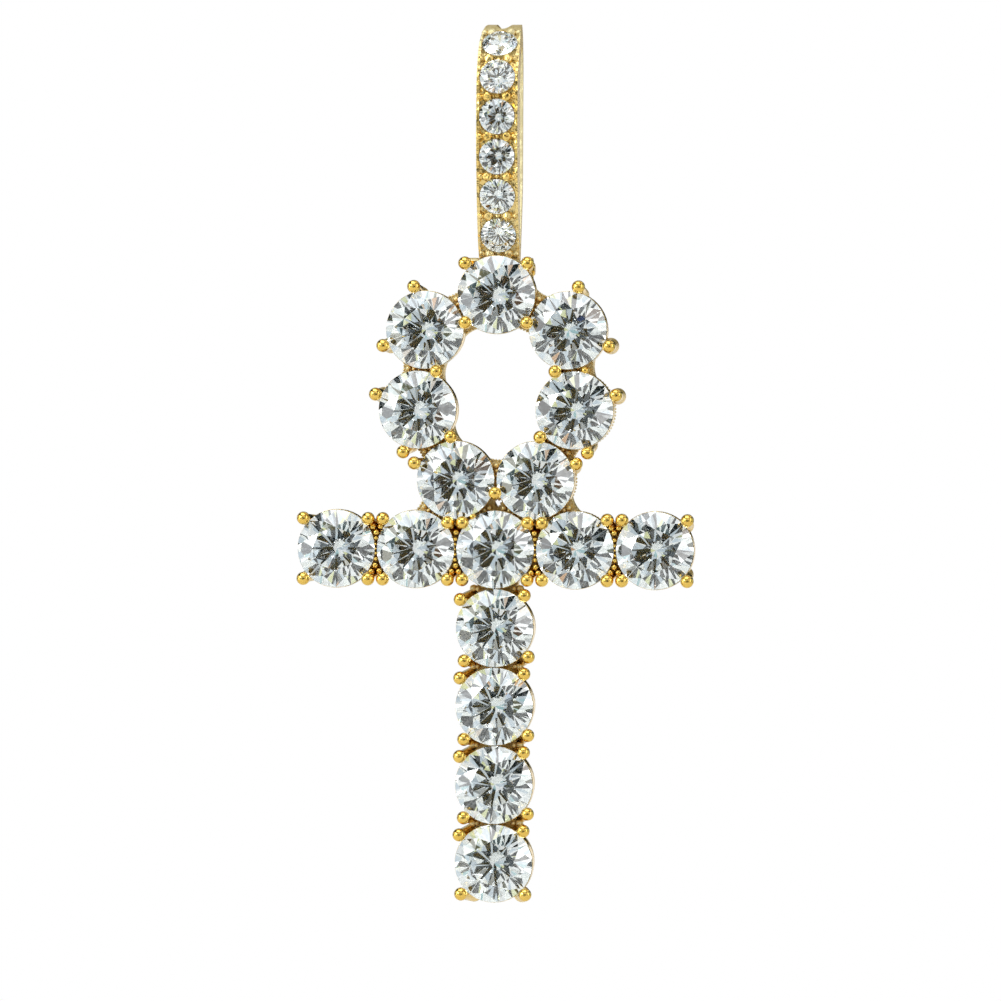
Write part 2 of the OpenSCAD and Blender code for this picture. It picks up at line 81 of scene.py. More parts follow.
# Sockets of a Mix node for colours, which share their names with its sockets for numbers
MIX_A, MIX_B, MIX_RESULT = 6, 7, 2


def linear(hex_colour):
    """An sRGB hex colour as linear red, green, blue and alpha."""
    parts = [int(hex_colour[i:i + 2], 16) / 255 for i in (1, 3, 5)]
    return [p / 12.92 if p <= 0.04045 else ((p + 0.055) / 1.055) ** 2.4 for p in parts] + [1.0]


def per_mm(size_mm):
    """The scale that makes a pattern's features this size, on coordinates in metres."""
    return 1 / (size_mm * MM)


def add_node(tree, kind, inputs=None, **settings):
    """Adds a node with its settings. An input takes a value or the socket that feeds it."""
    node = tree.nodes.new(kind)
    for name, value in settings.items():
        setattr(node, name, value)
    for name, value in (inputs or {}).items():
        if isinstance(value, bpy.types.NodeSocket):
            tree.links.new(value, node.inputs[name])
        else:
            node.inputs[name].default_value = value
    return node


def new_material(name):
    """An empty node material and its tree."""
    material = bpy.data.materials.new(name)
    material.use_nodes = True
    material.node_tree.nodes.clear()
    return material, material.node_tree


def give(node_name, material):
    """Puts a material on a carried-over node."""
    piece = NODES[node_name]
    piece.data.materials.clear()
    piece.data.materials.append(material)


# Metals

# A normal's Y is -1 on a face that looks forwards, 0 on a wall and 1 on one that looks back.
# Each pair says where on that scale a change starts and where it is complete.
WALL_TO_FRONT = (-0.2, -0.7)
BACK_TO_WALL = (0.9, 0.3)
# Shares that walls keep of the deep look, with its pale painted fill light, and of the waves, and
# backs of the cast roughness
WALL_DEEP = 0.2
WALL_WAVE = 0.03
BACK_CAST = 0.25
# Share of the grain that still shows on polished faces
POLISHED_GRAIN = 0.12
# How much rougher polish gets at the worst, and the range of the pattern that it follows
WORST_POLISH = 1.8
POLISH_RANGE = (0.3, 0.7)
# An edge is worn where its rounded normal leaves the face's. This is their product where the
# wear starts and where it is complete, and then the share of the worn colour.
WEAR_RANGE = (0.98, 0.8)
WEAR = 0.6
# How open a place is where the painted crease shade starts to darken it
CREASE_SHADE_OPEN = 0.45
# Rays that feel for edges and creases from each point
FEELERS = 6
# The lines on drawn wire: their width beside their length, and how much rougher they are
LINE_WIDTH = 0.04
LINE_DULL = 3


def cast_gold(name, finish, grain_mm, grain_depth_mm, wave_mm, wave_depth_mm, deep_mm):
    """Gold-plated brass, cast and hand-polished. Faces that the polishing wheel reaches mirror
    the studio in long soft streaks, with thin edges worn paler. Deep faces that look forwards
    keep the grain of the casting, drawn as coarse as it needs to be to show.
    deep_mm: how far behind the front faces start to be deep, and where they are deep in full."""
    material, tree = new_material(name)
    texture = add_node(tree, "ShaderNodeTexCoord")
    place = texture.outputs["Object"]
    depth = add_node(tree, "ShaderNodeSeparateXYZ", {"Vector": place}).outputs["Y"]
    below = add_node(tree, "ShaderNodeMapRange", {
        "Value": depth,
        "From Min": FRONT_Y + deep_mm[0] * MM,
        "From Max": FRONT_Y + deep_mm[1] * MM,
    }, interpolation_type="SMOOTHSTEP").outputs["Result"]
    looks = add_node(tree, "ShaderNodeSeparateXYZ", {
        "Vector": texture.outputs["Normal"],
    }).outputs["Y"]
    front = add_node(tree, "ShaderNodeMapRange", {
        "Value": looks,
        "From Min": WALL_TO_FRONT[0],
        "From Max": WALL_TO_FRONT[1],
        "To Min": WALL_DEEP,
    }, interpolation_type="SMOOTHSTEP").outputs["Result"]
    deep = add_node(tree, "ShaderNodeMath", {
        0: below, 1: front,
    }, operation="MULTIPLY").outputs["Value"]
    # The wheel reaches the back again, so only walls and hollows stay as cast
    hidden = add_node(tree, "ShaderNodeMapRange", {
        "Value": looks,
        "From Min": BACK_TO_WALL[0],
        "From Max": BACK_TO_WALL[1],
        "To Min": BACK_CAST,
    }).outputs["Result"]
    unpolished = add_node(tree, "ShaderNodeMath", {
        0: below, 1: hidden,
    }, operation="MULTIPLY").outputs["Value"]

    grain = add_node(tree, "ShaderNodeTexNoise", {
        "Vector": place, "Scale": per_mm(grain_mm), "Detail": 3.0, "Roughness": 0.6,
    }).outputs["Fac"]
    wave = add_node(tree, "ShaderNodeTexNoise", {
        "Vector": place, "Scale": per_mm(wave_mm), "Detail": 1.0, "Roughness": 0.4,
    }).outputs["Fac"]
    tone = add_node(tree, "ShaderNodeTexNoise", {
        "Vector": place, "Scale": per_mm(finish.tone_mm), "Detail": 2.0,
    }).outputs["Fac"]

    # Rounded edges catch light as a worn cast edge does, and where they turn the plating is paler
    soft = add_node(tree, "ShaderNodeBevel", {
        "Radius": finish.edge_mm * MM,
    }, samples=FEELERS).outputs["Normal"]
    flat = add_node(tree, "ShaderNodeNewGeometry").outputs["Normal"]
    turn = add_node(tree, "ShaderNodeVectorMath", {
        0: soft, 1: flat,
    }, operation="DOT_PRODUCT").outputs["Value"]
    worn = add_node(tree, "ShaderNodeMapRange", {
        "Value": turn, "From Min": WEAR_RANGE[0], "From Max": WEAR_RANGE[1], "To Max": WEAR,
    }).outputs["Result"]
    # Painted shade: the piece's own ambient occlusion darkens its creases towards the crease shade
    # colour
    shut = add_node(tree, "ShaderNodeAmbientOcclusion", {
        "Distance": finish.crease_mm * MM,
    }, samples=FEELERS, only_local=True).outputs["AO"]
    crease_shade = add_node(tree, "ShaderNodeMapRange", {
        "Value": shut, "From Min": CREASE_SHADE_OPEN, "From Max": 0.0,
    }).outputs["Result"]

    colour = add_node(tree, "ShaderNodeMix", {
        "Factor": tone, MIX_A: linear(finish.gold), MIX_B: linear(finish.gold_warm),
    }, data_type="RGBA").outputs[MIX_RESULT]
    # The deep colour is partly the paler matte plating of cast faces and partly painted fill
    # light, lighter than the plating so that faces which little light reaches look lit
    for share, other in (
        (crease_shade, finish.crease_shade),
        (deep, finish.gold_deep_painted_light),
        (worn, finish.gold_worn),
    ):
        colour = add_node(tree, "ShaderNodeMix", {
            "Factor": share, MIX_A: colour, MIX_B: linear(other),
        }, data_type="RGBA").outputs[MIX_RESULT]

    polished = add_node(tree, "ShaderNodeMapRange", {
        "Value": tone,
        "From Min": POLISH_RANGE[0],
        "From Max": POLISH_RANGE[1],
        "To Min": finish.polish,
        "To Max": finish.polish * WORST_POLISH,
    }).outputs["Result"]
    roughness = add_node(tree, "ShaderNodeMix", {
        "Factor": unpolished, "A": polished, "B": finish.as_cast,
    }, data_type="FLOAT").outputs["Result"]
    # Polishing paste stays in the deep grain and dulls its mirror
    metallic = add_node(tree, "ShaderNodeMapRange", {
        "Value": deep, "To Min": 1.0, "To Max": finish.deep_mirror,
    }).outputs["Result"]
    grain_here = add_node(tree, "ShaderNodeMapRange", {
        "Value": deep, "To Min": POLISHED_GRAIN, "To Max": 1.0,
    }).outputs["Result"]
    cut = add_node(tree, "ShaderNodeMapRange", {
        "Value": looks,
        "From Min": WALL_TO_FRONT[0],
        "From Max": WALL_TO_FRONT[1],
        "To Min": WALL_WAVE,
    }).outputs["Result"]
    waves = add_node(tree, "ShaderNodeBump", {
        "Height": wave, "Distance": wave_depth_mm * MM, "Strength": cut, "Normal": soft,
    }).outputs["Normal"]
    grains = add_node(tree, "ShaderNodeBump", {
        "Height": grain, "Distance": grain_depth_mm * MM, "Strength": grain_here, "Normal": waves,
    }).outputs["Normal"]

    shader = add_node(tree, "ShaderNodeBsdfPrincipled", {
        "Base Color": colour, "Metallic": metallic, "Roughness": roughness, "Normal": grains,
    })
    add_node(tree, "ShaderNodeOutputMaterial", {"Surface": shader.outputs["BSDF"]})
    return material


def drawn_gold_wire(finish):
    """Gold-plated brass wire, drawn through a die and cut. Fine lines run along it, drawn as
    coarse as they need to be to show."""
    material, tree = new_material("gold_plated_wire_drawn")
    place = add_node(tree, "ShaderNodeTexCoord").outputs["Object"]
    along = add_node(tree, "ShaderNodeMapping", {
        "Vector": place, "Scale": (LINE_WIDTH, 1.0, 1.0),
    }).outputs["Vector"]
    lines = add_node(tree, "ShaderNodeTexNoise", {
        "Vector": along, "Scale": per_mm(finish.line_mm), "Detail": 2.0,
    }).outputs["Fac"]
    colour = add_node(tree, "ShaderNodeMix", {
        "Factor": lines, MIX_A: linear(finish.gold), MIX_B: linear(finish.gold_warm),
    }, data_type="RGBA").outputs[MIX_RESULT]
    roughness = add_node(tree, "ShaderNodeMapRange", {
        "Value": lines, "To Min": finish.polish, "To Max": finish.polish * LINE_DULL,
    }).outputs["Result"]
    bump = add_node(tree, "ShaderNodeBump", {
        "Height": lines, "Distance": finish.line_depth_mm * MM, "Strength": 1.0,
    }).outputs["Normal"]
    shader = add_node(tree, "ShaderNodeBsdfPrincipled", {
        "Base Color": colour, "Metallic": 1.0, "Roughness": roughness, "Normal": bump,
    })
    add_node(tree, "ShaderNodeOutputMaterial", {"Surface": shader.outputs["BSDF"]})
    return material


# Stones

# Where in the pattern of smears a smear starts, and where it is complete
SMEAR_RANGE = (0.55, 0.8)


def cut_zirconia(finish):
    """Cubic zirconia, cut and polished. Its facets are flat and mirror-bright, so each shows its
    own white, grey or nearly black patch of the studio, and its ground girdle is a thin milky
    line."""
    material, tree = new_material("cubic_zirconia_cut")
    texture = add_node(tree, "ShaderNodeTexCoord")
    side = add_node(tree, "ShaderNodeSeparateXYZ", {
        "Vector": texture.outputs["Normal"],
    }).outputs["Y"]
    facing = add_node(tree, "ShaderNodeMath", {0: side}, operation="ABSOLUTE").outputs["Value"]
    girdle = add_node(tree, "ShaderNodeMath", {
        0: facing, 1: finish.girdle_slope,
    }, operation="LESS_THAN").outputs["Value"]
    smear = add_node(tree, "ShaderNodeTexNoise", {
        "Vector": texture.outputs["Object"], "Scale": per_mm(finish.smear_mm), "Detail": 2.0,
    }).outputs["Fac"]
    polished = add_node(tree, "ShaderNodeMapRange", {
        "Value": smear,
        "From Min": SMEAR_RANGE[0],
        "From Max": SMEAR_RANGE[1],
        "To Min": 0.0,
        "To Max": finish.smear,
    }).outputs["Result"]
    roughness = add_node(tree, "ShaderNodeMath", {
        0: girdle, 1: finish.girdle_roughness, 2: polished,
    }, operation="MULTIPLY_ADD").outputs["Value"]
    shader = add_node(tree, "ShaderNodeBsdfPrincipled", {
        "Base Color": linear(finish.tint),
        "Roughness": roughness,
        "IOR": finish.ior,
        "Transmission Weight": 1.0,
    })
    add_node(tree, "ShaderNodeOutputMaterial", {"Surface": shader.outputs["BSDF"]})
    return material


# Values that a user would change


class MetalFinish(bpy.types.PropertyGroup):
    """Colours and polish of the gold-plated metal."""

    gold: bpy.props.StringProperty(
        name="Gold", description="sRGB hex colour of the plating, seen head on",
        default="#EFCB6E")
    gold_warm: bpy.props.StringProperty(
        name="Warm gold", description="sRGB hex colour where the plating is thicker",
        default="#E4BB58")
    # Partly the paler matte plating of cast faces and partly painted fill light for deep faces
    # that little light reaches
    gold_deep_painted_light: bpy.props.StringProperty(
        name="Deep gold", description="sRGB hex colour of the faces that no polishing reaches",
        default="#F4EABC")
    gold_worn: bpy.props.StringProperty(
        name="Worn gold", description="sRGB hex colour of rubbed edges",
        default="#FAEBB8")
    # Painted shade: the colour that creases are darkened towards, by how occluded they are
    crease_shade: bpy.props.StringProperty(
        name="Crease", description="sRGB hex colour of the creases that hold polish",
        default="#B8954E")
    polish: bpy.props.FloatProperty(
        name="Polish", description="Roughness of polished faces",
        default=0.07, min=0, max=1, subtype="FACTOR")
    as_cast: bpy.props.FloatProperty(
        name="As cast", description="Roughness of deep faces",
        default=0.36, min=0, max=1, subtype="FACTOR")
    deep_mirror: bpy.props.FloatProperty(
        name="Deep mirror", description="How metallic the deep grain still looks",
        default=0.25, min=0, max=1, subtype="FACTOR")
    tone_mm: bpy.props.FloatProperty(
        name="Tone size", description="Size of the plating's changes of tone, in millimetres",
        default=1.6)
    edge_mm: bpy.props.FloatProperty(
        name="Edge radius", description="Radius of the worn edges, in millimetres",
        default=0.035)
    # How far the painted crease shade reaches
    crease_mm: bpy.props.FloatProperty(
        name="Crease reach", description="How far a crease darkens its walls, in millimetres",
        default=0.2)
    line_mm: bpy.props.FloatProperty(
        name="Drawing lines",
        description="Distance of the lines on the drawn wire, in millimetres",
        default=0.05)
    line_depth_mm: bpy.props.FloatProperty(
        name="Line depth", description="Depth of the lines on the drawn wire, in millimetres",
        default=0.004)


class StoneFinish(bpy.types.PropertyGroup):
    """Colour and polish of the stones."""

    tint: bpy.props.StringProperty(
        name="Tint", description="sRGB hex colour of the zirconia",
        default="#F5FBFB")
    ior: bpy.props.FloatProperty(
        name="Refraction", description="Index of refraction of cubic zirconia",
        default=2.16, min=1, max=3)
    smear_mm: bpy.props.FloatProperty(
        name="Smear size", description="Size of the faint smears on the facets, in millimetres",
        default=0.9)
    smear: bpy.props.FloatProperty(
        name="Smear", description="Roughness of the smears",
        default=0.03, min=0, max=1, subtype="FACTOR")
    girdle_slope: bpy.props.FloatProperty(
        name="Girdle slope",
        description="Largest share of its normal that a girdle face turns forwards",
        default=0.06)
    girdle_roughness: bpy.props.FloatProperty(
        name="Girdle", description="Roughness of the ground girdle",
        default=0.4, min=0, max=1, subtype="FACTOR")


class StudioLook(bpy.types.PropertyGroup):
    """Floor, backdrop and light."""

    floor: bpy.props.StringProperty(
        name="Floor", description="sRGB hex colour of the floor",
        default="#F3F2EF")
    floor_below: bpy.props.FloatProperty(
        name="Floor distance", description="Distance of the floor below the pendant",
        default=0.027, unit="LENGTH")
    floor_radius: bpy.props.FloatProperty(
        name="Floor radius", description="Radius of the floor",
        default=0.26, unit="LENGTH")
    wall: bpy.props.FloatProperty(
        name="Wall light", description="Brightness of the studio behind the pendant",
        default=1.0)
    room: bpy.props.FloatProperty(
        name="Tent light", description="Brightness of the tent on the camera's side",
        default=0.9)
    front: bpy.props.FloatProperty(
        name="Light from the front", description="Brightness of the tent around the camera",
        default=0.96)
    dark: bpy.props.StringProperty(
        name="Camera side",
        description="sRGB hex colour of the dark room that shows through the tent's opening",
        default="#1E2426")


class CameraPlace(bpy.types.PropertyGroup):
    """Where the photograph was taken from."""

    azimuth: bpy.props.FloatProperty(
        name="Azimuth", description="Angle of the camera to the right of the front",
        default=math.radians(6.5), subtype="ANGLE")
    elevation: bpy.props.FloatProperty(
        name="Elevation", description="Angle of the camera above the level",
        default=math.radians(0.8), subtype="ANGLE")
    roll: bpy.props.FloatProperty(
        name="Roll", description="How far the camera leans, which turns the picture clockwise",
        default=math.radians(0.3), subtype="ANGLE")
    distance: bpy.props.FloatProperty(
        name="Distance", description="Distance of the camera from its target",
        default=0.32, unit="LENGTH")
    target: bpy.props.FloatVectorProperty(
        name="Target",
        description="The point in the middle of the picture, from the middle of the top stone",
        default=(0.25 * MM, -0.53 * MM, -9.9 * MM), subtype="TRANSLATION")


# Settings, their milgrain and the bail


class PENDANT_OT_settings(bpy.types.Operator):
    """Finish the sixteen settings, their prongs and the webs between them"""

    bl_idname = "pendant.settings"
    bl_label = "Settings"

    def execute(self, context):
        # Faces from 1 mm behind the front take the deep look, whose pale colour is partly painted
        # fill light
        material = cast_gold(
            "gold_plated_brass_cast", context.scene.pendant_metal,
            grain_mm=0.07, grain_depth_mm=0.03, wave_mm=0.5, wave_depth_mm=0.012,
            deep_mm=(1.0, 1.6))
        give(SETTINGS, material)
        return {"FINISHED"}


# Stones nearer than this share a web, which covers this angle of a gallery ring to each side
NEIGHBOUR_MM = 4.0
WEB_ANGLE = math.radians(34)
# How far a web's milgrain lies behind the girdle, the web's waist, and the radius of its hollow
# sides and how far the milgrain follows them from the waist
WEB_DEPTH_MM = 0.95
WEB_WAIST_MM = 1.9
WEB_HOLLOW_MM = 1.4
WEB_REACH_MM = 0.95
# Radius of the gallery ring's edge, and how far it lies behind the girdle
GALLERY_MM = 1.79
GALLERY_DEPTH_MM = 1.9
# How far the culet lies behind the middle of the girdle
CULET_MM = 1.676
# Milgrain: radius of a bead, and the distance between two
BEAD_MM = 0.06
BEAD_STEP_MM = 0.16
BEAD_SIDES = 8
BEAD_RINGS = 4
# Settings whose right-hand back edge has milgrain too
BEADED = ("stone_loop_low_right", "stone_loop_foot_right", "stone_bar_4")
# Grains at each end of a web: place along the line between the stones and across it, and radius
LOOP_GRAINS = ((0.0, 0.16, 0.07), (0.0, 0.42, 0.11), (0.0, 0.70, 0.14))
POST_GRAINS = ((0.0, 1.12, 0.17), (0.0, 0.88, 0.13))
# On the crossbar they stand in a row up to the prongs
BAR_GRAINS = (
    (0.0, 0.0, 0.05), (0.0, 0.24, 0.07), (0.0, 0.50, 0.11), (0.0, 0.80, 0.16),
    (-0.19, 1.10, 0.16), (0.19, 1.10, 0.16),
)
# How far the grains' heads lie behind the girdle, and half their height
LOOP_HEAD_MM = 0.35
BAR_HEAD_MM = -0.1
POST_HEAD_MM = 0.45
GRAIN_TALL_MM = 0.5
# How far a grain strays from its place, as a share of its radius
STRAY = 0.25
SEED = 7


def add_bead(points, faces, centre, radius, tall=None):
    """Adds a small closed ball, or an egg that stands on the web, to lists of points and faces."""
    start = len(points)
    tall = tall or radius
    points.append(centre + Vector((0, -tall, 0)))
    for ring in range(1, BEAD_RINGS):
        angle = math.pi * ring / BEAD_RINGS
        for side in range(BEAD_SIDES):
            turn = 2 * math.pi * side / BEAD_SIDES
            points.append(centre + Vector((
                radius * math.sin(angle) * math.cos(turn),
                -tall * math.cos(angle),
                radius * math.sin(angle) * math.sin(turn))))
    points.append(centre + Vector((0, tall, 0)))
    last = len(points) - 1
    for side in range(BEAD_SIDES):
        after = (side + 1) % BEAD_SIDES
        faces.append((start, start + 1 + side, start + 1 + after))
        for ring in range(BEAD_RINGS - 2):
            row = start + 1 + ring * BEAD_SIDES
            below = row + BEAD_SIDES
            faces.append((row + side, below + side, below + after, row + after))
        row = last - BEAD_SIDES
        faces.append((row + side, last, row + after))


def bead_gallery(points, faces, centre, others):
    """A row of beads on the right-hand half of a gallery ring, where no web meets it."""
    ways = [(other - centre).normalized() for other in others
            if 0 < (other - centre).length < NEIGHBOUR_MM * MM]
    back = Vector((0, GALLERY_DEPTH_MM * MM, 0))
    count = round(math.pi * GALLERY_MM / BEAD_STEP_MM)
    for i in range(count + 1):
        turn = math.pi * (i / count - 0.5)
        out = Vector((math.cos(turn), 0, math.sin(turn)))
        if all(out.dot(way) < math.cos(WEB_ANGLE) for way in ways):
            add_bead(points, faces, centre + GALLERY_MM * MM * out + back, BEAD_MM * MM)


def web_axes(first, second, depth_mm):
    """Directions along and across the line between two stones, and its middle, set back."""
    along = (second - first).normalized()
    across = Vector((-along.z, 0, along.x))
    middle = (first + second) / 2 + Vector((0, depth_mm * MM, 0))
    return along, across, middle


def edge_web(points, faces, first, second):
    """A row of beads along both hollow edges of the web between two stones."""
    along, across, middle = web_axes(first, second, WEB_DEPTH_MM)
    reach = math.asin(WEB_REACH_MM / WEB_HOLLOW_MM)
    count = round(2 * reach * WEB_HOLLOW_MM / BEAD_STEP_MM)
    for side in (-1, 1):
        for i in range(count + 1):
            turn = reach * (2 * i / count - 1)
            u = WEB_HOLLOW_MM * math.sin(turn)
            v = WEB_WAIST_MM / 2 + WEB_HOLLOW_MM * (1 - math.cos(turn))
            bead = middle + u * MM * along + side * v * MM * across
            add_bead(points, faces, bead, BEAD_MM * MM)


def grain_web(points, faces, first, second, grains, head_mm, chance):
    """Grains on both ends of the web between two stones, where the prongs stand. Each is a
    round head on a tall egg that reaches down to the web."""
    along, across, middle = web_axes(first, second, head_mm)
    tall = GRAIN_TALL_MM * MM
    for side in (-1, 1):
        for along_mm, across_mm, size_mm in grains:
            u = along_mm + STRAY * size_mm * chance.uniform(-1, 1)
            v = across_mm + STRAY * size_mm * chance.uniform(-1, 1)
            size = size_mm * MM
            head = middle + u * MM * along + side * v * MM * across + Vector((0, size, 0))
            add_bead(points, faces, head, size)
            add_bead(points, faces, head + Vector((0, tall, 0)), size, tall)


def add_piece(scene, name, points, faces, material):
    """Makes a piece of the settings' metal that moves with them."""
    mesh = bpy.data.meshes.new(name)
    mesh.from_pydata(points, [], faces)
    mesh.shade_smooth()
    mesh.materials.append(material)
    piece = bpy.data.objects.new(name, mesh)
    scene.collection.objects.link(piece)
    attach(piece, "pendant")


class PENDANT_OT_milgrain(bpy.types.Operator):
    """Line the webs and the backs of some settings with milgrain, and set grains on the webs"""

    bl_idname = "pendant.milgrain"
    bl_label = "Milgrain"

    def execute(self, context):
        centres = {}
        for name in MAIN_STONES:
            low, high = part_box(name)
            centres[name] = Vector((
                (low.x + high.x) / 2, high.y - CULET_MM * MM, (low.z + high.z) / 2))

        # The points and faces of the beads, and those of the golden grains on the crossbar
        pale, golden = ([], []), ([], [])
        chance = random.Random(SEED)
        for name in BEADED:
            bead_gallery(*pale, centres[name], centres.values())
        for (_, first), (name, second) in combinations(centres.items(), 2):
            if (second - first).length < NEIGHBOUR_MM * MM:
                edge_web(*pale, first, second)
                if name.startswith("stone_bar"):
                    grain_web(*golden, first, second, BAR_GRAINS, BAR_HEAD_MM, chance)
                elif name.startswith("stone_loop"):
                    grain_web(*pale, first, second, LOOP_GRAINS, LOOP_HEAD_MM, chance)
                else:
                    grain_web(*pale, first, second, POST_GRAINS, POST_HEAD_MM, chance)

        # The wheel can't get between the stones, so the beads keep the cast look, and their pale
        # colour is partly matte plating and partly painted fill light
        beaded = cast_gold(
            "gold_plated_brass_beaded", context.scene.pendant_metal,
            grain_mm=0.07, grain_depth_mm=0.01, wave_mm=0.5, wave_depth_mm=0.012,
            deep_mm=(0.2, 1.2))
        cast = NODES[SETTINGS].data.materials[0]
        add_piece(context.scene, "milgrain", *pale, beaded)
        add_piece(context.scene, "solder_grains", *golden, cast)
        return {"FINISHED"}


class PENDANT_OT_bail(bpy.types.Operator):
    """Finish the bail, whose front is cut bright between its stones"""

    bl_idname = "pendant.bail"
    bl_label = "Bail"

    def execute(self, context):
        # The front takes a small share of the deep look, with its pale painted fill light
        material = cast_gold(
            "gold_plated_brass_bright_cut", context.scene.pendant_metal,
            grain_mm=0.09, grain_depth_mm=0.03, wave_mm=0.32, wave_depth_mm=0.2,
            deep_mm=(-0.6, 3.0))
        give(BAIL, material)
        return {"FINISHED"}


class PENDANT_OT_hinge_pin(bpy.types.Operator):
    """Finish the pin of the bail's hinge"""

    bl_idname = "pendant.hinge_pin"
    bl_label = "Hinge pin"

    def execute(self, context):
        give(PIN, drawn_gold_wire(context.scene.pendant_metal))
        return {"FINISHED"}


class PENDANT_OT_stones(bpy.types.Operator):
    """Finish the round stones of the ankh and of the bail"""

    bl_idname = "pendant.stones"
    bl_label = "Stones"

    def execute(self, context):
        material = cut_zirconia(context.scene.pendant_stones)
        for name in MAIN_STONES + BAIL_STONES:
            give(name, material)
        return {"FINISHED"}


# Studio

# Softboxes: name, place from the pendant's middle, width and height, and brightness beside white
SOFTBOXES = (
    ("softbox_key", (-0.34, -0.30, 0.18), (0.17, 0.17), 8.0),
    ("softbox_top", (-0.05, -0.14, 0.42), (0.46, 0.30), 2.2),
    ("softbox_left", (-0.42, -0.12, 0.06), (0.16, 0.46), 1.8),
    ("softbox_right", (0.42, -0.16, 0.12), (0.14, 0.40), 2.0),
    ("reflector_low", (0.06, -0.20, -0.36), (0.40, 0.16), 1.0),
)

FLOOR_SIDES = 96
FLOOR_ROUGHNESS = 0.8
# Where the floor starts to fade and where it is gone, as shares of its radius
FLOOR_FADE = (0.45, 0.95)

# The tent's light changes with a direction's Y, which is -1 towards the front and 1 to the back
FRONT_TO_ROOM = (-0.78, -0.5)
ROOM_TO_WALL = (-0.25, 0.35)
# The tent's opening, where the camera stands: azimuth and elevation of its middle, width and
# height, in degrees, and where its edge fades, as shares of its radius
OPENING = (10.0, -9.0, 38.0, 34.0)
OPENING_FADE = (1.1, 0.9)
# What the tent is sewn from: where each cloth starts on a scale from 0 to 1, and its colour
CLOTHS = (
    (0.00, "#1C211F"),
    (0.27, "#59615F"),
    (0.37, "#D3DDE5"),
    (0.68, "#FFFFFF"),
    (0.87, "#EEF0BE"),
    (0.915, "#8FA4F0"),
    (0.95, "#B2D2D6"),
    (0.98, "#DCAE84"),
)
# Patches of cloth along one radius of the tent
PATCHES = 3.3

# How often light may turn before it is lost, which a cut stone needs many times over
STONE_BOUNCES = 24
METAL_BOUNCES = 8


